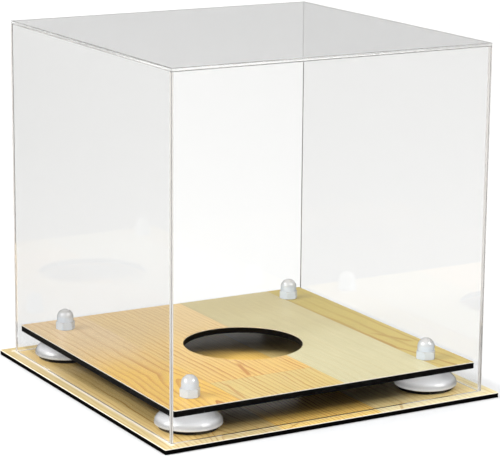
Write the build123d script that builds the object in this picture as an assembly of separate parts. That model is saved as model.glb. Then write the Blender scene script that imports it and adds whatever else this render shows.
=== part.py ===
from build123d import *
import math
import os

# Display case for a ball: a laminated base, a raised platform on four white feet, and a
# clear cover that stands on the base around the platform. Millimetres, +Z up, front at -Y.
# The origin is the middle of the base's underside.

# Cover: five clear sheets glued into a box that is open at the bottom
cover_width = 254.0
wall_height = 251.6
sheet_thickness = 2.4
polish_break = 0.3

# Boards: black cores with a thin wood-grain laminate on top
base_margin = 9.0
base_core_thickness = 3.0
platform_core_thickness = 4.2
laminate_thickness = 0.5
laminate_edge_break = 0.2
board_corner_radius = 1.0
cover_to_platform_clearance = 2.1

# Seat: the round hole in the platform that the ball rests in
seat_diameter = 88.9

# Risers: foot, pad, stud and cap nut near each corner of the platform
riser_inset = 25.2
riser_height = 16.8
pad_thickness = 3.2
pad_recess_depth = 0.6
pad_edge_margin = 1.4
pad_in_recess_clearance = 0.15
foot_bottom_diameter = 43.4
foot_rim_overhang = 1.3
foot_top_diameter = 23.0
foot_rim_rise = 0.8
foot_rim_round = 6.3
foot_top_break = 0.4

stud_diameter = 7.9
stud_end_chamfer = 0.8
stud_in_foot_depth = 10.0
stud_in_foot_clearance = 0.05
stud_hole_clearance = 0.25

nut_across_flats = 13.0
nut_height = 15.3
nut_hex_height = 6.0
nut_corner_turn = -12.0
nut_corner_round = 1.2
nut_dome_diameter = 12.4
nut_bottom_break = 0.4
nut_top_slope = 30.0
nut_wall_over_stud = 2.4
nut_bore_clearance = 0.1
nut_mouth_chamfer = 0.5

# Heights of the faces that the pieces stand on
base_top = base_core_thickness + laminate_thickness
platform_bottom = base_top + riser_height
platform_core_top = platform_bottom + platform_core_thickness
platform_top = platform_core_top + laminate_thickness
cover_wall_top = base_top + wall_height

# Plan sizes that follow from the ones above
base_width = cover_width + 2 * base_margin
cover_inside = cover_width - 2 * sheet_thickness
platform_width = cover_inside - 2 * cover_to_platform_clearance
riser_offset = platform_width / 2 - riser_inset

pad_recess_radius = foot_bottom_diameter / 2 - pad_edge_margin
stud_radius = stud_diameter / 2
stud_hole_radius = stud_radius + stud_hole_clearance
seat_radius = seat_diameter / 2

CORNERS = {
    "front_left": (-riser_offset, -riser_offset),
    "front_right": (riser_offset, -riser_offset),
    "rear_left": (-riser_offset, riser_offset),
    "rear_right": (riser_offset, riser_offset),
}


def upright_edges(solid):
    return solid.edges().filter_by(Axis.Z)


def edges_on_outside(solid, axis, side):
    """Edges of the face that looks along +axis (side 1) or -axis (side -1)."""
    faces = solid.faces().sort_by(axis)
    face = faces[-1] if side > 0 else faces[0]
    return face.edges()


def box_between(low, high):
    """A block from its lowest corner to its highest corner."""
    size = [b - a for a, b in zip(low, high)]
    middle = [(a + b) / 2 for a, b in zip(low, high)]
    return Pos(*middle) * Box(*size)


def cover_front_or_rear(side):
    """A full-width wall: its bottom edges and its outer upright edges are broken."""
    outer = side * cover_width / 2
    inner = side * cover_inside / 2
    wall = box_between(
        (-cover_width / 2, min(outer, inner), base_top),
        (cover_width / 2, max(outer, inner), cover_wall_top),
    )
    outer_face_edges = edges_on_outside(wall, Axis.Y, side)
    bottom = edges_on_outside(wall, Axis.Z, -1).filter_by(Axis.X)
    return chamfer(outer_face_edges.filter_by(Axis.Z) + bottom, polish_break)


def cover_left_or_right(side):
    """A wall that fits between the front and rear walls, with its bottom edges broken."""
    outer = side * cover_width / 2
    inner = side * cover_inside / 2
    wall = box_between(
        (min(outer, inner), -cover_inside / 2, base_top),
        (max(outer, inner), cover_inside / 2, cover_wall_top),
    )
    bottom = edges_on_outside(wall, Axis.Z, -1).filter_by(Axis.Y)
    return chamfer(bottom, polish_break)


def cover_top():
    """The sheet that lies on the four walls, broken on its outer top and upright edges."""
    sheet = box_between(
        (-cover_width / 2, -cover_width / 2, cover_wall_top),
        (cover_width / 2, cover_width / 2, cover_wall_top + sheet_thickness),
    )
    top = edges_on_outside(sheet, Axis.Z, 1)
    return chamfer(top + upright_edges(sheet), polish_break)


def board(width, bottom, thickness):
    """A square sheet with slightly rounded upright corners."""
    sheet = Pos(0, 0, bottom + thickness / 2) * Box(width, width, thickness)
    return fillet(upright_edges(sheet), board_corner_radius)


def laminate(width, bottom):
    """The thin top sheet of a board, with its top edge broken all round."""
    sheet = board(width, bottom, laminate_thickness)
    return chamfer(edges_on_outside(sheet, Axis.Z, 1), laminate_edge_break)


def platform_holes(bottom, thickness):
    """The seat hole and the four stud holes, as solids to cut from a platform sheet."""
    middle = bottom + thickness / 2
    cutters = [Pos(0, 0, middle) * Cylinder(seat_radius, 2 * thickness)]
    for x, y in CORNERS.values():
        cutters.append(Pos(x, y, middle) * Cylinder(stud_hole_radius, 2 * thickness))
    return cutters


def platform_core():
    sheet = board(platform_width, platform_bottom, platform_core_thickness)
    return sheet - platform_holes(platform_bottom, platform_core_thickness)


def platform_laminate():
    sheet = laminate(platform_width, platform_core_top)
    return sheet - platform_holes(platform_core_top, laminate_thickness)


def tangent_point(centre, radius, tip):
    """Where a line from tip touches the outer side of a circle in the X-Z plane."""
    across = tip[0] - centre[0]
    rise = tip[1] - centre[1]
    angle = math.atan2(rise, across) - math.acos(radius / math.hypot(across, rise))
    return (centre[0] + radius * math.cos(angle), centre[1] + radius * math.sin(angle))


def riser_foot(x, y):
    """A turned bun: a rounded rim low down, a sloping flank, a pad recess and a stud hole."""
    foot_bottom = base_top + pad_thickness - pad_recess_depth
    bottom_edge = (foot_bottom_diameter / 2, foot_bottom)
    rim_radius = bottom_edge[0] + foot_rim_overhang
    rim_height = foot_bottom + foot_rim_rise
    rim = (rim_radius, rim_height)
    top_edge = (foot_top_diameter / 2, platform_bottom)
    shoulder = tangent_point((rim_radius - foot_rim_round, rim_height), foot_rim_round, top_edge)
    under_rim = EllipticalCenterArc(
        (bottom_edge[0], rim_height),
        foot_rim_overhang,
        foot_rim_rise,
        start_angle=270,
        arc_size=90,
    )
    over_rim = TangentArc(rim, shoulder, tangent=(0, 1))
    flank = Line(shoulder, top_edge)
    closing = Polyline(top_edge, (0, platform_bottom), (0, foot_bottom), bottom_edge)
    profile = make_face(Plane.XZ * Curve(children=[under_rim, over_rim, flank, closing]))
    bun = revolve(profile, Axis.Z)
    bun = chamfer(bun.edges().sort_by(Axis.Z)[-1], foot_top_break)
    recess_middle = foot_bottom + pad_recess_depth / 2
    recess = Pos(0, 0, recess_middle) * Cylinder(pad_recess_radius, pad_recess_depth)
    hole_radius = stud_radius + stud_in_foot_clearance
    hole_middle = platform_bottom - stud_in_foot_depth / 2
    hole = Pos(0, 0, hole_middle) * Cylinder(hole_radius, stud_in_foot_depth)
    return Pos(x, y, 0) * (bun - recess - hole)


def riser_pad(x, y):
    """A soft disc that fills the recess under a foot and stands on the base."""
    radius = pad_recess_radius - pad_in_recess_clearance
    return Pos(x, y, base_top + pad_thickness / 2) * Cylinder(radius, pad_thickness)


def riser_stud(x, y):
    """A stud set in the foot, through the platform and up into the cap nut."""
    bottom = platform_bottom - stud_in_foot_depth
    top = platform_top + nut_height - nut_wall_over_stud - nut_mouth_chamfer
    length = top - bottom
    rod = Cylinder(stud_radius, length)
    ends = rod.edges().filter_by(GeomType.CIRCLE)
    return Pos(x, y, bottom + length / 2) * chamfer(ends, stud_end_chamfer)


def nut_blank():
    """The hexagon under a turned outline that breaks its bottom and slopes its corners."""
    hexagon = RegularPolygon(
        nut_across_flats / 2, 6, major_radius=False, rotation=nut_corner_turn
    )
    prism = extrude(hexagon, nut_hex_height)
    prism = fillet(upright_edges(prism), nut_corner_round)
    flat_radius = nut_across_flats / 2
    corner_radius = flat_radius / math.cos(math.radians(30))
    slope_drop = (corner_radius - flat_radius) * math.tan(math.radians(nut_top_slope))
    outline = Polyline(
        (0, 0),
        (flat_radius - nut_bottom_break / 2, 0),
        (corner_radius, nut_bottom_break),
        (corner_radius, nut_hex_height - slope_drop),
        (flat_radius, nut_hex_height),
        (0, nut_hex_height),
        close=True,
    )
    return prism & revolve(make_face(Plane.XZ * outline), Axis.Z)


def riser_cap_nut(x, y):
    """A closed nut: hexagon below, round dome above, blind bore for the stud."""
    dome_radius = nut_dome_diameter / 2
    neck_height = nut_height - dome_radius
    neck = Pos(0, 0, neck_height / 2) * Cylinder(dome_radius, neck_height)
    dome = Pos(0, 0, neck_height) * Sphere(dome_radius)
    bore_radius = stud_radius + nut_bore_clearance
    bore_depth = nut_height - nut_wall_over_stud
    bore = Pos(0, 0, bore_depth / 2) * Cylinder(bore_radius, bore_depth)
    mouth = Pos(0, 0, nut_mouth_chamfer / 2) * Cone(
        bore_radius + nut_mouth_chamfer, bore_radius, nut_mouth_chamfer
    )
    nut = nut_blank() + neck + dome - bore - mouth
    return Pos(x, y, platform_top) * nut


def all_parts():
    parts = {
        "base_board": board(base_width, 0, base_core_thickness),
        "base_wood_laminate": laminate(base_width, base_core_thickness),
        "platform_board": platform_core(),
        "platform_wood_laminate": platform_laminate(),
        "cover_front_panel": cover_front_or_rear(-1),
        "cover_rear_panel": cover_front_or_rear(1),
        "cover_left_panel": cover_left_or_right(-1),
        "cover_right_panel": cover_left_or_right(1),
        "cover_top_panel": cover_top(),
    }
    for corner, (x, y) in CORNERS.items():
        parts[f"riser_foot_{corner}"] = riser_foot(x, y)
        parts[f"riser_pad_{corner}"] = riser_pad(x, y)
        parts[f"riser_stud_{corner}"] = riser_stud(x, y)
        parts[f"riser_cap_nut_{corner}"] = riser_cap_nut(x, y)
    return parts


os.makedirs("parts", exist_ok=True)
for name, shape in all_parts().items():
    export_step(shape, f"parts/{name}.step")
    print(f"{name}: {shape.volume:.1f} mm3")
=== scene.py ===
import math

import bmesh
import bpy
from mathutils import Matrix, Vector


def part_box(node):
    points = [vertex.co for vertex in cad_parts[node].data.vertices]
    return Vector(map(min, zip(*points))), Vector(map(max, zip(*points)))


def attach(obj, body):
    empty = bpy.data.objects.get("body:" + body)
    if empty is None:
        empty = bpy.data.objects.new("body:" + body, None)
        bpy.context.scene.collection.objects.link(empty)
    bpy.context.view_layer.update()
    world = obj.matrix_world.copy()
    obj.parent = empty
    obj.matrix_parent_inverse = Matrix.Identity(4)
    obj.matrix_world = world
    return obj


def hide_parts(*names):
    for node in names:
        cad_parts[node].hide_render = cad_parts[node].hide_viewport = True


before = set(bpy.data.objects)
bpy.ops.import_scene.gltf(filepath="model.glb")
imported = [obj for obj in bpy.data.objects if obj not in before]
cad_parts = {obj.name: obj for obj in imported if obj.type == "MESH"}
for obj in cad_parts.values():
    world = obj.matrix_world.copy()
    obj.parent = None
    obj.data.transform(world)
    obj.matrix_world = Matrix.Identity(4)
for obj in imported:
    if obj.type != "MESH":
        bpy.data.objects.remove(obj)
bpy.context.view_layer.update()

MM = 0.001

CORNERS = ("front_left", "front_right", "rear_left", "rear_right")

# Sizes in millimetres
GLUE_GAP = 0.02
POLISH_BREAK = 0.3
FLOOR_DROP = 0.2
FLOOR_HALF = 12000.0

# Distances from the middle to a wall's inner and outer face, also in millimetres
COVER_INSIDE, COVER_OUTSIDE = (corner.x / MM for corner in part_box("cover_right_panel"))


# Node graphs
class Value:
    """A number or colour in a node graph, with arithmetic that adds the nodes for it."""

    def __init__(self, graph, socket):
        self.graph = graph
        self.socket = socket

    def __add__(self, other):
        return self.graph.math("ADD", self, other)

    def __sub__(self, other):
        return self.graph.math("SUBTRACT", self, other)

    def __rsub__(self, other):
        return self.graph.math("SUBTRACT", other, self)

    def __mul__(self, other):
        return self.graph.math("MULTIPLY", self, other)

    def __truediv__(self, other):
        return self.graph.math("DIVIDE", self, other)


class Graph:
    """A node tree being built, for a material or the world."""

    def __init__(self, tree):
        self.tree = tree
        self.tree.nodes.clear()

    def put(self, socket, value):
        if isinstance(value, Value):
            value = value.socket
        if isinstance(value, bpy.types.NodeSocket):
            self.tree.links.new(value, socket)
        elif socket.type == "RGBA" and len(value) == 3:
            socket.default_value = (*value, 1.0)
        else:
            socket.default_value = value

    def node(self, kind, inputs=None, **settings):
        made = self.tree.nodes.new(kind)
        for name, value in settings.items():
            setattr(made, name, value)
        for key, value in (inputs or {}).items():
            self.put(made.inputs[key], value)
        return made

    def out(self, kind, output, inputs=None, **settings):
        return Value(self, self.node(kind, inputs, **settings).outputs[output])

    def math(self, operation, *values):
        return self.out("ShaderNodeMath", 0, dict(enumerate(values)), operation=operation)

    def smooth(self, low, high, value):
        """0 below low, 1 above high, and an S-curve between them."""
        inputs = {"Value": value, "From Min": low, "From Max": high}
        return self.out("ShaderNodeMapRange", 0, inputs, interpolation_type="SMOOTHSTEP")

    def scale(self, value, low, high):
        """Spreads a 0 to 1 value over low to high."""
        inputs = {"Value": value, "To Min": low, "To Max": high}
        return self.out("ShaderNodeMapRange", 0, inputs)

    def mix(self, factor, a, b, blend="MIX"):
        made = self.node("ShaderNodeMix", data_type="RGBA", blend_type=blend)
        self.put(made.inputs[0], factor)
        self.put(made.inputs[6], a)
        self.put(made.inputs[7], b)
        return Value(self, made.outputs[2])

    def mix_vector(self, factor, a, b):
        made = self.node("ShaderNodeMix", data_type="VECTOR", clamp_factor=True)
        self.put(made.inputs[0], factor)
        self.put(made.inputs[4], a)
        self.put(made.inputs[5], b)
        return Value(self, made.outputs[1])

    def join(self, x, y, z):
        return self.out("ShaderNodeCombineXYZ", 0, {0: x, 1: y, 2: z})

    def split(self, vector):
        made = self.node("ShaderNodeSeparateXYZ", {0: vector})
        return [Value(self, o) for o in made.outputs]

    def place(self):
        """Where a point is on the object at rest, in millimetres."""
        spot = self.out("ShaderNodeTexCoord", "Object")
        made = self.node("ShaderNodeVectorMath", {0: spot, "Scale": 1 / MM}, operation="SCALE")
        return Value(self, made.outputs[0])

    def noise(self, vector, scale, detail=2.0, roughness=0.5):
        inputs = {"Vector": vector, "Scale": scale, "Detail": detail, "Roughness": roughness}
        return self.out("ShaderNodeTexNoise", 0, inputs)

    def bump(self, height, distance):
        """A surface relief, its depth in millimetres."""
        inputs = {"Height": height, "Distance": distance * MM, "Strength": 1.0}
        return self.out("ShaderNodeBump", 0, inputs)


def new_material(name):
    material = bpy.data.materials.new(name)
    material.use_nodes = True
    graph = Graph(material.node_tree)
    return material, graph


def finish_material(graph, shader):
    graph.node("ShaderNodeOutputMaterial", {"Surface": shader.socket})


def principled(graph, **inputs):
    keys = {k.replace("_", " "): v for k, v in inputs.items()}
    return graph.out("ShaderNodeBsdfPrincipled", 0, keys)


# Materials
def plank(box, heart, rings, lines, rear, front):
    """One strip of the laminate, in millimetres on the board.

    box: x from, x to, y from, y to.  heart: x and y of the tree's middle line where it is
    depth below the face.  rings: how fast that depth grows to the rear, its limit, and the
    spacing.  lines: strength of the ring lines, their share of the spacing, their wander.
    rear, front: the strip's tone at the board's rear and at its front.
    """
    return {
        "box": box,
        "heart": heart,
        "rings": rings,
        "lines": lines,
        "rear": rear,
        "front": front,
    }


PLATFORM_PLANKS = (
    plank((-160, -71, -200, 200), (-88, -124, 4), (0.165, 17.5, 4.6), (0.9, 0.55, 7.0),
          (0.74, 0.54, 0.30), (0.82, 0.50, 0.08)),
    plank((-71, 12, -78, 200), (-74, -120, 1), (0.02, 6.0, 4.2), (1.0, 0.75, 6.0),
          (0.72, 0.52, 0.25), (0.83, 0.54, 0.14)),
    plank((-71, 12, -200, -78), (-78, -120, 1), (0.03, 6.0, 4.2), (0.85, 0.60, 6.0),
          (0.73, 0.53, 0.17), (0.74, 0.54, 0.17)),
    plank((12, 92, -200, 200), (150, 0, 2), (0.0, 6.0, 7.0), (0.12, 0.5, 8.0),
          (0.54, 0.45, 0.22), (0.68, 0.61, 0.35)),
    plank((92, 170, -200, 200), (88, -124, 12), (0.20, 24.0, 7.5), (0.8, 0.40, 6.0),
          (0.51, 0.39, 0.10), (0.62, 0.47, 0.13)),
)

BASE_PLANKS = (
    plank((-200, -45, -200, 200), (-88, -160, 4), (0.21, 19.0, 3.3), (0.8, 0.50, 5.0),
          (0.64, 0.50, 0.25), (0.70, 0.56, 0.28)),
    plank((-45, 36, -200, 200), (-60, -120, 1), (0.02, 6.0, 3.2), (0.9, 0.50, 4.0),
          (0.80, 0.58, 0.20), (0.96, 0.69, 0.23)),
    plank((36, 200, -200, 200), (150, 0, 2), (0.0, 6.0, 5.0), (0.4, 0.5, 8.0),
          (0.74, 0.61, 0.31), (0.88, 0.76, 0.44)),
)

# What a plank gives to the points that lie on it
PLANK_TRAITS = ("heart", "rings", "lines", "rear", "front")

# Orange flames in the figure: from x, y to x, y, half width and strength
PLATFORM_FLAMES = (
    (-29, -40, -38, -77, 2.4, 0.8),
    (-60, -78, -67, -125, 1.6, 0.6),
    (97, -18, 113, -58, 3.0, 0.45),
)
BASE_FLAMES = ((-20, -122, -44, -137, 1.8, 0.6), (60, -120, 52, -137, 1.8, 0.5))

# Tones of the print, the tints that its tone is multiplied by, and tones of painted highlight,
# light and shadow
LATE_TINT_REAR = (0.64, 0.50, 0.34)
LATE_TINT_FRONT = (0.56, 0.28, 0.06)
SEAM_TONE = (0.26, 0.13, 0.04)
# Painted highlight, on the laminate's cut edge
EDGE_HIGHLIGHT_TONE = (0.95, 0.88, 0.74)
# Tint of the wood inside the cover's walls
INSIDE_WALLS_TINT = (1.25, 1.12, 0.86)
# Painted light, in the band under and just outside the cover's walls
LIT_BAND_TONE = (1.0, 0.93, 0.80)
# Painted shadow, in the line at the walls' inner face
SHADE_LINE_TONE = (0.09, 0.035, 0.01)

# The rear's figure turns into the front's between these distances towards the front, which
# blotches carry to and fro, all in millimetres
TURN_FROM = -95.0
TURN_TO = 70.0
TURN_WANDER = 90.0

# Rings: shiver of the lines in millimetres, and unevenness of the spacing in rings
RING_SHIVER = 1.3
RING_CROWDING = 2.2

SEAM_HALF_WIDTH = 0.40
SEAM_STRENGTH = 0.28

# The painted light band under and just outside the walls: its start, its end and their soft edges
# in millimetres, and its strength
LIT_BAND_START = COVER_INSIDE + 0.6
LIT_BAND_START_EDGE = 1.0
LIT_BAND_END = COVER_OUTSIDE + 3.0
LIT_BAND_END_EDGE = 2.2
LIT_BAND_CORNER_EDGE = 0.5
LIT_BAND_STRENGTH = 0.8
# Share of the painted light band on each side, most on the left, the side of the left key lamp
LIT_BAND_SHARES = {"left": 1.0, "front": 0.2, "right": 0.6, "rear": 0.8}

# The painted shadow line at the walls' inner face: half its width and half its darkest core
SHADE_LINE_HALF_WIDTH = 0.5
SHADE_LINE_CORE = 0.2
SHADE_LINE_STRENGTH = 0.7


def plank_traits(g, x, y, planks):
    """The traits of the plank at a point, and how far the point is inside that plank."""
    traits = {trait: g.join(*planks[0][trait]) for trait in PLANK_TRAITS}
    inside = 0.0
    for strip in planks:
        x0, x1, y0, y1 = strip["box"]
        nearest_x = g.math("MINIMUM", x - x0, x1 - x)
        nearest_y = g.math("MINIMUM", y - y0, y1 - y)
        depth_in = g.math("MINIMUM", nearest_x, nearest_y)
        here = g.math("GREATER_THAN", depth_in, 0.0)
        for trait in PLANK_TRAITS:
            traits[trait] = g.mix_vector(here, traits[trait], g.join(*strip[trait]))
        inside = g.math("MAXIMUM", inside, depth_in)
    return traits, inside


def ring_lines(g, x, y, traits, toward_front, drift, seed):
    """Dark lines at even distances from a heart line that slowly rises to the face."""
    heart_x, heart_y, heart_depth = g.split(traits["heart"])
    taper, depth_limit, spacing = g.split(traits["rings"])
    strength, share, wander = g.split(traits["lines"])
    shiver = g.noise(g.join(x * 0.05, y * 0.045, seed + 4.0), 1.0, 2.0) - 0.5
    across = x - heart_x + drift * wander * 2.0 + shiver * RING_SHIVER
    down = g.math("MINIMUM", heart_depth + (y - heart_y) * taper, depth_limit)
    radius = g.math("SQRT", across * across + down * down)
    crowding = g.noise(g.join(across * 0.045, 0.0, seed + 6.0), 1.0, 1.0) - 0.5
    turns = radius / spacing + crowding * RING_CROWDING
    ring = g.math("FLOOR", turns)
    part = turns - ring
    chance = g.out("ShaderNodeTexWhiteNoise", 0, {"W": ring + heart_x}, noise_dimensions="1D")
    fade = g.smooth(0.28, 0.62, g.noise(g.join(ring * 3.1, y * 0.014, seed), 1.0, 2.0))

    # A line darkens over its share of the ring and ends at once, as late wood does
    dark = g.smooth(1.0 - share, 0.94, part) * (1.0 - g.smooth(0.95, 1.0, part))
    dark = g.math("POWER", dark, g.scale(toward_front, 2.4, 1.0))
    line = dark * g.scale(chance, 0.4, 1.0) * g.scale(fade, 0.5, 1.0) * strength
    return line * g.scale(toward_front, 0.75, 1.0)


def flame_lines(g, x, y, flames, drift):
    """Each flame's strength at a point: it swells at its start and ends in a tip."""
    marks = []
    for x0, y0, x1, y1, half_width, strength in flames:
        along = (y - y0) * (1.0 / (y1 - y0))
        off = g.math("ABSOLUTE", x + drift * 10.0 - x0 - along * (x1 - x0))
        flame = 1.0 - g.smooth(half_width * 0.4, half_width, off)
        flame = flame * g.smooth(0.0, 0.3, along) * (1.0 - g.smooth(0.85, 1.0, along))
        marks.append(flame * strength)
    return marks


def wood_material(name, planks, flames, seed, under_cover, shine):
    """A printed strip-board laminate: planks along Y, each with its own rings and tone."""
    material, g = new_material(name)
    x, y, _ = g.split(g.place())
    traits, inside = plank_traits(g, x, y, planks)
    blotch = g.noise(g.join(x * 0.018, y * 0.012, 5.0), 1.0, 2.0)
    turn = 0.0 - y + (blotch - 0.5) * TURN_WANDER
    toward_front = g.smooth(TURN_FROM, TURN_TO, turn)

    # Figure
    drift = g.noise(g.join(x * 0.010, y * 0.011, seed), 1.0, 3.0) - 0.5
    line = ring_lines(g, x, y, traits, toward_front, drift, seed)
    for flame in flame_lines(g, x, y, flames, drift):
        line = g.math("MAXIMUM", line, flame)

    # Pores and tone
    fibre = g.noise(g.join(x * 1.9, y * 0.06, seed), 1.0, 4.0, 0.62)
    streak = g.noise(g.join(x * 0.42, y * 0.012, seed + 2.0), 1.0, 2.0)
    tone = g.mix_vector(toward_front, traits["rear"], traits["front"])
    shade = g.scale(fibre, 0.90, 1.08) * g.scale(streak, 0.93, 1.07) * g.scale(blotch, 0.95, 1.05)
    tone = g.mix(1.0, tone, g.join(shade, shade, shade), "MULTIPLY")
    late = g.mix_vector(toward_front, g.join(*LATE_TINT_REAR), g.join(*LATE_TINT_FRONT))
    late_tone = g.mix(1.0, tone, late, "MULTIPLY")
    tone = g.mix(line, tone, late_tone)
    seam = 1.0 - g.smooth(0.05, SEAM_HALF_WIDTH, inside)
    tone = g.mix(seam * SEAM_STRENGTH, tone, SEAM_TONE)
    if under_cover:
        tone = painted_cover_light_and_shade(g, x, y, tone)

    # The sheet's cut edge is painted pale, as a painted highlight along the edge
    upright = g.split(g.out("ShaderNodeNewGeometry", "True Normal"))[2]
    cut_edge = 1.0 - g.smooth(0.75, 0.95, upright)
    tone = g.mix(cut_edge, tone, EDGE_HIGHLIGHT_TONE)

    rubbed = g.noise(g.place(), 0.09, 4.0, 0.65)
    roughness = g.scale(rubbed, 0.13, 0.26) + fibre * 0.04
    height = fibre * 0.4 - line * 0.35 + g.noise(g.place(), 0.35, 2.0) * 0.6
    shader = principled(
        g,
        Base_Color=tone,
        Roughness=roughness,
        Normal=g.bump(height, 0.010),
        IOR=1.5,
        Specular_IOR_Level=shine,
    )
    finish_material(g, shader)
    return material


def painted_cover_light_and_shade(g, x, y, tone):
    """What the cover has done to the base under it.

    Under and just outside its walls a pale band is painted light, strongest on the left, with
    a painted shadow line at their inner face, and the wood inside the walls is warmer.
    """
    reach = g.math("MAXIMUM", g.math("ABSOLUTE", x), g.math("ABSOLUTE", y))
    from_wall = g.math("ABSOLUTE", reach - COVER_INSIDE)
    # Painted shadow: a dark line along the walls' inner face
    shade_line = 1.0 - g.smooth(SHADE_LINE_CORE, SHADE_LINE_HALF_WIDTH, from_wall)
    # The wood inside the walls is made warmer
    inside_walls = 1.0 - g.smooth(COVER_INSIDE - 0.5, COVER_INSIDE, reach)
    warm = g.mix(1.0, tone, INSIDE_WALLS_TINT, "MULTIPLY")
    tone = g.mix(inside_walls, tone, warm)
    distances = {"left": 0.0 - x, "front": 0.0 - y, "right": x, "rear": y}
    # Painted light: a pale band under and just outside the walls
    lit_band = 0.0
    for side, share in LIT_BAND_SHARES.items():
        band = g.smooth(LIT_BAND_START, LIT_BAND_START + LIT_BAND_START_EDGE, distances[side])
        band = band * (1.0 - g.smooth(LIT_BAND_END - LIT_BAND_END_EDGE, LIT_BAND_END, distances[side]))
        lit_band = g.math("MAXIMUM", lit_band, band * share)
    within = 1.0 - g.smooth(LIT_BAND_END, LIT_BAND_END + LIT_BAND_CORNER_EDGE, reach)
    patchy = g.scale(g.noise(g.join(x * 0.05, y * 0.05, 2.0), 1.0, 3.0), 0.6, 1.1)
    tone = g.mix(lit_band * within * patchy * LIT_BAND_STRENGTH, tone, LIT_BAND_TONE)
    return g.mix(shade_line * patchy * SHADE_LINE_STRENGTH, tone, SHADE_LINE_TONE)


def black_board_material():
    """Black-dyed fibre board: satin, with faint pressed layers and pale specks on its edges."""
    material, g = new_material("black_fibre_board")
    spot = g.place()
    x, y, z = g.split(spot)
    layers = g.noise(g.join(x * 0.03, y * 0.03, z * 2.4), 1.0, 3.0, 0.6)
    fibres = g.noise(g.join(x * 0.9, y * 0.9, z * 4.0), 1.0, 3.0, 0.65)
    specks = g.smooth(0.70, 0.82, g.noise(spot, 1.7, 2.0))
    tone = g.mix(g.scale(layers, 0.0, 0.9), (0.0016, 0.0013, 0.0011), (0.0034, 0.0029, 0.0025))
    tone = g.mix(specks * 0.30, tone, (0.02, 0.017, 0.014))
    roughness = g.scale(fibres, 0.40, 0.62)
    normal = g.bump(fibres * 0.7 + layers * 0.5, 0.05)
    shader = principled(
        g,
        Base_Color=tone,
        Roughness=roughness,
        Normal=normal,
        IOR=1.45,
        Specular_IOR_Level=0.06,
    )
    finish_material(g, shader)
    return material


def white_plastic_material(name, side_painted_tone, rim_painted_tone, top_painted_tone, rub_scale):
    """Glossy moulded plastic with faint mottling, orange peel and rubbed patches.

    Its tone goes with how far up the surface looks, as painted light and shade: the side tone
    where it looks level or down, the rim tone where it starts to look up, the top tone where it
    looks up.
    """
    material, g = new_material(name)
    spot = g.place()
    mottle = g.noise(spot, 0.16, 3.0, 0.55)
    peel = g.noise(spot, 0.9, 2.0)
    rubbed = g.smooth(0.56, 0.78, g.noise(spot, rub_scale, 4.0, 0.7))
    # Painted light and shade: the tone changes with how far the surface faces up
    upright = g.split(g.out("ShaderNodeNewGeometry", "Normal"))[2]
    tone = g.mix(g.smooth(0.0, 0.3, upright), side_painted_tone, rim_painted_tone)
    tone = g.mix(g.smooth(0.35, 0.85, upright), tone, top_painted_tone)
    pale = g.scale(mottle, 0.97, 1.03)
    tone = g.mix(1.0, tone, g.join(pale, pale, pale), "MULTIPLY")
    roughness = g.scale(mottle, 0.035, 0.055) + rubbed * 0.05
    normal = g.bump(peel + rubbed * 0.3, 0.008)
    shader = principled(
        g, Base_Color=tone, Roughness=roughness, Normal=normal, IOR=1.52
    )
    finish_material(g, shader)
    return material


def rubber_material():
    """Matte black rubber with a fine moulded grain and dust on its rim."""
    material, g = new_material("black_rubber_pad")
    spot = g.place()
    grain = g.noise(spot, 3.2, 3.0, 0.6)
    dust = g.smooth(0.55, 0.85, g.noise(spot, 0.5, 4.0, 0.7))
    tone = g.mix(grain, (0.004, 0.004, 0.004), (0.010, 0.010, 0.009))
    tone = g.mix(dust * 0.2, tone, (0.03, 0.028, 0.025))
    roughness = g.scale(grain, 0.66, 0.88)
    shader = principled(
        g,
        Base_Color=tone,
        Roughness=roughness,
        Normal=g.bump(grain, 0.04),
        IOR=1.5,
        Specular_IOR_Level=0.2,
    )
    finish_material(g, shader)
    return material


def steel_material():
    """Zinc-plated steel, brushed round the rod, with slightly cloudy plating."""
    material, g = new_material("zinc_plated_steel")
    spot = g.place()
    x, y, z = g.split(spot)
    turned = g.noise(g.join(x * 0.05, y * 0.05, z * 6.0), 1.0, 3.0, 0.6)
    cloudy = g.noise(spot, 0.5, 3.0)
    tone = g.mix(cloudy, (0.50, 0.51, 0.53), (0.66, 0.67, 0.69))
    roughness = g.scale(turned, 0.24, 0.42)
    normal = g.bump(turned, 0.02)
    shader = principled(g, Base_Color=tone, Metallic=1.0, Roughness=roughness, Normal=normal)
    finish_material(g, shader)
    return material


# What is left of light that passes a face of acrylic straight
STRAIGHT_LIGHT = (0.93, 0.935, 0.94)


def acrylic_material(name, tint, rough_low, rough_high, clearness):
    """Clear cast acrylic: a hair of tint, a faint ripple and hairline scratches.

    Lamps and the light between surfaces pass it straight, which keeps the shadows clean.
    """
    material, g = new_material(name)
    spot = g.place()
    x, y, z = g.split(spot)
    swirl = g.noise(spot, 0.02, 3.0, 0.6)
    hair = g.noise(
        g.join(x * 0.02 + z * 0.6, y * 0.02 + z * 0.5, x * 0.7 + y * 0.6), 1.0, 4.0, 0.75
    )
    scratches = g.smooth(0.66, 0.78, hair)
    ripple = g.noise(spot, 0.012, 1.0)
    roughness = g.scale(swirl, rough_low, rough_high) + scratches * 0.02
    normal = g.bump(ripple - scratches * 0.02, 0.03)
    glass = principled(
        g,
        Base_Color=tint,
        Roughness=roughness,
        IOR=1.49,
        Specular_IOR_Level=0.3,
        Transmission_Weight=clearness,
        Normal=normal,
    )
    clear = g.out("ShaderNodeBsdfTransparent", 0, {"Color": STRAIGHT_LIGHT})
    path = g.node("ShaderNodeLightPath")
    for_surfaces = g.out(
        "ShaderNodeMixShader", 0, {0: path.outputs["Is Diffuse Ray"], 1: glass, 2: clear}
    )
    for_lamps = g.out(
        "ShaderNodeMixShader", 0, {0: path.outputs["Is Shadow Ray"], 1: for_surfaces, 2: clear}
    )
    finish_material(g, for_lamps)
    return material


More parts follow.
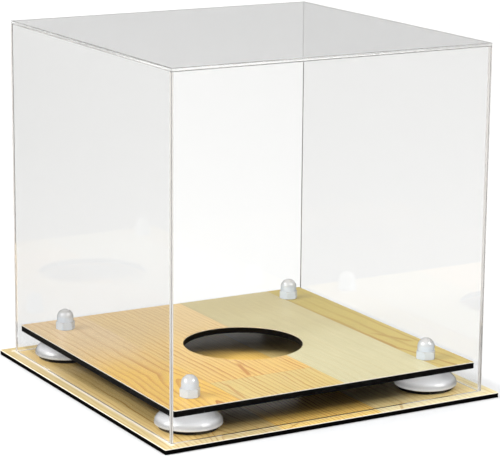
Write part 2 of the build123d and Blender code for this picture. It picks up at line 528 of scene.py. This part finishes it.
PAPER_TONES = (0.75, 0.75, 0.75), (0.77, 0.77, 0.77)
MIRRORED_PAPER_TONE = (0.015, 0.015, 0.015)


def floor_material():
    """Plain pale studio paper, with barely visible tooth, kept dim in the first reflections."""
    material, g = new_material("studio_paper")
    tooth = g.noise(g.place(), 0.8, 3.0, 0.6)
    tone = g.mix(tooth, *PAPER_TONES)
    turns = g.out("ShaderNodeLightPath", "Glossy Depth")
    mirrored = g.smooth(0.0, 1.0, turns) * (1.0 - g.smooth(3.0, 5.0, turns))
    tone = g.mix(mirrored, tone, MIRRORED_PAPER_TONE)
    shader = principled(
        g, Base_Color=tone, Roughness=0.9, Specular_IOR_Level=0.0, Normal=g.bump(tooth, 0.02)
    )
    finish_material(g, shader)
    return material


MATERIALS = {
    "platform_wood": wood_material(
        "platform_wood_laminate_finish",
        PLATFORM_PLANKS,
        PLATFORM_FLAMES,
        seed=1.7,
        under_cover=False,
        shine=0.3,
    ),
    "base_wood": wood_material(
        "base_wood_laminate_finish",
        BASE_PLANKS,
        BASE_FLAMES,
        seed=8.3,
        under_cover=True,
        shine=0.15,
    ),
    "board": black_board_material(),
    # Painted light and shade on the feet and nuts: the feet lighter on top and darker at the rim,
    # the nuts darker on top and bluer at the sides
    "foot": white_plastic_material(
        "white_foot_plastic",
        side_painted_tone=(0.52, 0.52, 0.525),
        rim_painted_tone=(0.405, 0.405, 0.41),
        top_painted_tone=(0.80, 0.80, 0.81),
        rub_scale=0.12,
    ),
    "nut": white_plastic_material(
        "white_nut_plastic",
        side_painted_tone=(0.46, 0.50, 0.55),
        rim_painted_tone=(0.445, 0.455, 0.465),
        top_painted_tone=(0.40, 0.39, 0.375),
        rub_scale=0.35,
    ),
    "rubber": rubber_material(),
    "steel": steel_material(),
    "sheet": acrylic_material(
        "clear_acrylic",
        tint=(1.0, 1.0, 0.995),
        rough_low=0.0,
        rough_high=0.01,
        clearness=1.0,
    ),
    "edge": acrylic_material(
        "clear_acrylic_polished_edge",
        tint=(0.64, 0.62, 0.60),
        rough_low=0.02,
        rough_high=0.05,
        clearness=0.6,
    ),
    "top_edge": acrylic_material(
        "clear_acrylic_top_edge",
        tint=(0.80, 0.80, 0.79),
        rough_low=0.02,
        rough_high=0.05,
        clearness=0.8,
    ),
    "broken_edge": acrylic_material(
        "clear_acrylic_broken_edge",
        tint=(0.16, 0.16, 0.155),
        rough_low=0.04,
        rough_high=0.08,
        clearness=0.6,
    ),
    "floor": floor_material(),
}


# Pieces
def new_piece(name, mesh, body, slot_name, *replaced):
    piece = bpy.data.objects.new(name, mesh)
    bpy.context.scene.collection.objects.link(piece)
    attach(piece, body)
    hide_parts(*replaced)


def wear(node, material):
    """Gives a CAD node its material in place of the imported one."""
    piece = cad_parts[node]
    piece.data.materials.clear()
    piece.data.materials.append(MATERIALS[material])


# Order of the materials in a sheet's slots
CLEAR, POLISHED, BROKEN = range(3)
ALONG_AXIS = 0.99

# Each sheet: the axis it is thin along, whether its bottom is clear, and the least number of
# its two ends that a broken edge has in the sheet's upper half: 0 breaks every edge, 1 all
# but the bottom ones, and 3 none.
SHEETS = {
    "front": (1, True, 1),
    "rear": (1, False, 3),
    "left": (0, False, 3),
    "right": (0, True, 3),
    "top": (2, True, 0),
}


def face_slot(face, thin_axis, clear_bottom):
    """Which of a sheet's materials a face gets."""
    along = [abs(part) > ALONG_AXIS for part in face.normal]
    if along[thin_axis] or (clear_bottom and face.normal.z < -ALONG_AXIS):
        return CLEAR
    return POLISHED if any(along) else BROKEN


def acrylic_panel(side, thin_axis, clear_bottom, upper_ends):
    """One glued sheet of the cover, drawn in by the glue gap, with polished edge faces."""
    node = f"cover_{side}_panel"
    low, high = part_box(node)
    gap = Vector((GLUE_GAP, GLUE_GAP, GLUE_GAP)) * MM
    low = low + gap
    high = high - gap
    mesh = bpy.data.meshes.new(f"clear_{side}_sheet")
    shape = bmesh.new()
    bmesh.ops.create_cube(shape, size=1.0)
    for vertex in shape.verts:
        vertex.co = Vector(
            (low[i] + high[i]) / 2 + vertex.co[i] * (high[i] - low[i]) for i in range(3)
        )
    middle = (low.z + high.z) / 2
    broken = [
        edge
        for edge in shape.edges
        if sum(end.co.z > middle for end in edge.verts) >= upper_ends
    ]
    if broken:
        bmesh.ops.bevel(
            shape,
            geom=broken,
            offset=POLISH_BREAK * MM,
            segments=1,
            affect="EDGES",
            profile=0.5,
        )
    shape.normal_update()
    for face in shape.faces:
        face.material_index = face_slot(face, thin_axis, clear_bottom)
    shape.to_mesh(mesh)
    shape.free()
    mesh.materials.append(MATERIALS["sheet"])
    mesh.materials.append(MATERIALS["top_edge" if side == "top" else "edge"])
    mesh.materials.append(MATERIALS["broken_edge"])
    new_piece(f"clear_{side}_sheet", mesh, "cover", "clear_acrylic", node)


for side, (thin_axis, clear_bottom, upper_ends) in SHEETS.items():
    acrylic_panel(side, thin_axis, clear_bottom, upper_ends)

wear("base_board", "board")
wear("platform_board", "board")
wear("base_wood_laminate", "base_wood")
wear("platform_wood_laminate", "platform_wood")
for corner in CORNERS:
    wear(f"riser_foot_{corner}", "foot")
    wear(f"riser_pad_{corner}", "rubber")
    wear(f"riser_stud_{corner}", "steel")
    wear(f"riser_cap_nut_{corner}", "nut")


# Studio
def floor():
    mesh = bpy.data.meshes.new("studio_floor")
    half = FLOOR_HALF
    corners = [(-half, -half), (half, -half), (half, half), (-half, half)]
    mesh.from_pydata([Vector((x, y, -FLOOR_DROP)) * MM for x, y in corners], [], [(0, 1, 2, 3)])
    piece = bpy.data.objects.new("studio_floor", mesh)
    mesh.materials.append(MATERIALS["floor"])
    bpy.context.scene.collection.objects.link(piece)


def direction(azimuth, elevation):
    """Unit vector from the object, azimuth 0 towards the front (-Y) and 90 towards the right."""
    a, e = math.radians(azimuth), math.radians(elevation)
    return Vector((math.sin(a) * math.cos(e), -math.cos(a) * math.cos(e), math.sin(e)))


LAMP_AIM_HEIGHT = 0.1


def softbox(name, azimuth, elevation, distance, size, power):
    """A rectangular lamp that looks at the middle of the case, in metres and watts."""
    light = bpy.data.lights.new(name, "AREA")
    light.shape = "RECTANGLE"
    light.size, light.size_y = size
    light.energy = power
    lamp = bpy.data.objects.new(name, light)
    toward = direction(azimuth, elevation)
    lamp.location = toward * distance + Vector((0, 0, LAMP_AIM_HEIGHT))
    lamp.rotation_mode = "QUATERNION"
    lamp.rotation_quaternion = toward.to_track_quat("Z", "Y")
    bpy.context.scene.collection.objects.link(lamp)
    return lamp


def only_for(lamp, pieces, shine):
    """Lets a lamp light only these pieces: by its mirror image alone, or by all but that."""
    lit = bpy.data.collections.new(f"{lamp.name}_receivers")
    for piece in pieces:
        lit.objects.link(piece)
    lamp.light_linking.receiver_collection = lit
    lamp.visible_glossy = shine
    lamp.visible_transmission = shine
    lamp.visible_diffuse = not shine


# Brightness of the dome
HORIZON_LEVEL = 0.14
ZENITH_LEVEL = 1.6
REAR_LEVEL = 0.08


def studio_world():
    """A soft white dome: bright overhead, dim at the horizon, less so towards the rear."""
    world = bpy.data.worlds.new("soft_studio")
    world.use_nodes = True
    g = Graph(world.node_tree)
    x, y, z = g.split(g.out("ShaderNodeTexCoord", "Generated"))
    rear = direction(150, 10)
    toward_rear = x * rear.x + y * rear.y + z * rear.z
    level = g.smooth(0.30, 0.95, z) * ZENITH_LEVEL + HORIZON_LEVEL
    level = g.smooth(0.45, 0.95, toward_rear) * REAR_LEVEL + level
    tone = g.join(level, level, level)
    background = g.out("ShaderNodeBackground", 0, {"Color": tone, "Strength": 1.0})
    g.node("ShaderNodeOutputWorld", {"Surface": background})
    bpy.context.scene.world = world


floor()
studio_world()

white_pieces = [
    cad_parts[f"riser_{part}_{corner}"] for corner in CORNERS for part in ("foot", "cap_nut")
]
sheets = [bpy.data.objects[f"clear_{side}_sheet"] for side in SHEETS]
base_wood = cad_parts["base_wood_laminate"]
platform_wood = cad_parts["platform_wood_laminate"]

# Key lamps
softbox("softbox_left", azimuth=-102, elevation=37, distance=2.4, size=(0.9, 0.35), power=32)
softbox("softbox_front_right", azimuth=35, elevation=39, distance=2.4, size=(0.6, 0.3), power=10)

# Lamps that flags would keep to a few pieces: each lights only those that it is linked to.
# The one for the floor faces straight down.
rear_floor = softbox(
    "softbox_rear_floor", azimuth=170, elevation=30, distance=4.0, size=(3.0, 2.0), power=30
)
rear_floor.rotation_quaternion = (1, 0, 0, 0)
only_for(rear_floor, [bpy.data.objects["studio_floor"]], shine=False)
fill = softbox(
    "softbox_camera_side", azimuth=-36, elevation=8, distance=3.0, size=(5.4, 0.55), power=140
)
only_for(fill, white_pieces + sheets, shine=False)
back_fill = softbox(
    "softbox_behind", azimuth=140, elevation=12, distance=3.0, size=(5.4, 0.55), power=110
)
only_for(back_fill, white_pieces, shine=False)
shine_left = softbox(
    "shine_left", azimuth=-100, elevation=33, distance=2.4, size=(1.8, 1.4), power=80
)
only_for(shine_left, white_pieces + sheets, shine=True)
shine_right = softbox(
    "shine_front_right", azimuth=35, elevation=37, distance=2.4, size=(1.3, 1.4), power=57.6
)
only_for(shine_right, white_pieces + sheets, shine=True)
shine_rear = softbox(
    "shine_rear", azimuth=150, elevation=18, distance=3.0, size=(5.0, 1.7), power=10.8
)
only_for(shine_rear, white_pieces + sheets + [platform_wood], shine=True)
base_glow = softbox(
    "softbox_left_low", azimuth=-98, elevation=15, distance=2.4, size=(2.4, 0.9), power=20
)
only_for(base_glow, [base_wood], shine=False)


# The photograph's camera, fitted to the case's corners, in metres and degrees
CAMERA_PLACE = (-0.79380, -1.38632, 0.48172)
CAMERA_AZIMUTH = -29.9734
CAMERA_ELEVATION = 13.0194
CAMERA_ROLL = 0.4839
SENSOR_WIDTH_MM = 36.0
LENS_MM = 160.929
CLIP_START, CLIP_END = 0.05, 50.0


def camera():
    around = math.radians(CAMERA_AZIMUTH)
    back = direction(CAMERA_AZIMUTH, CAMERA_ELEVATION)
    right = Vector((math.cos(around), math.sin(around), 0))
    up = back.cross(right)
    turn = math.radians(CAMERA_ROLL)
    right, up = (
        right * math.cos(turn) + up * math.sin(turn),
        up * math.cos(turn) - right * math.sin(turn),
    )
    data = bpy.data.cameras.new("photo_camera")
    data.sensor_width = SENSOR_WIDTH_MM
    data.lens = LENS_MM
    data.clip_start, data.clip_end = CLIP_START, CLIP_END
    made = bpy.data.objects.new("photo_camera", data)
    made.matrix_world = Matrix(
        [[right[i], up[i], back[i], CAMERA_PLACE[i]] for i in range(3)] + [[0, 0, 0, 1]]
    )
    bpy.context.scene.collection.objects.link(made)
    bpy.context.scene.camera = made


camera()
scene = bpy.context.scene
scene.view_settings.view_transform = "Standard"
scene.view_settings.look = "None"

# Light turns back and forth many times inside the sheets before it leaves them
SHEET_BOUNCES = 96
scene.cycles.max_bounces = SHEET_BOUNCES
scene.cycles.transmission_bounces = SHEET_BOUNCES
scene.cycles.glossy_bounces = SHEET_BOUNCES
scene.cycles.diffuse_bounces = 5
scene.cycles.transparent_max_bounces = 32
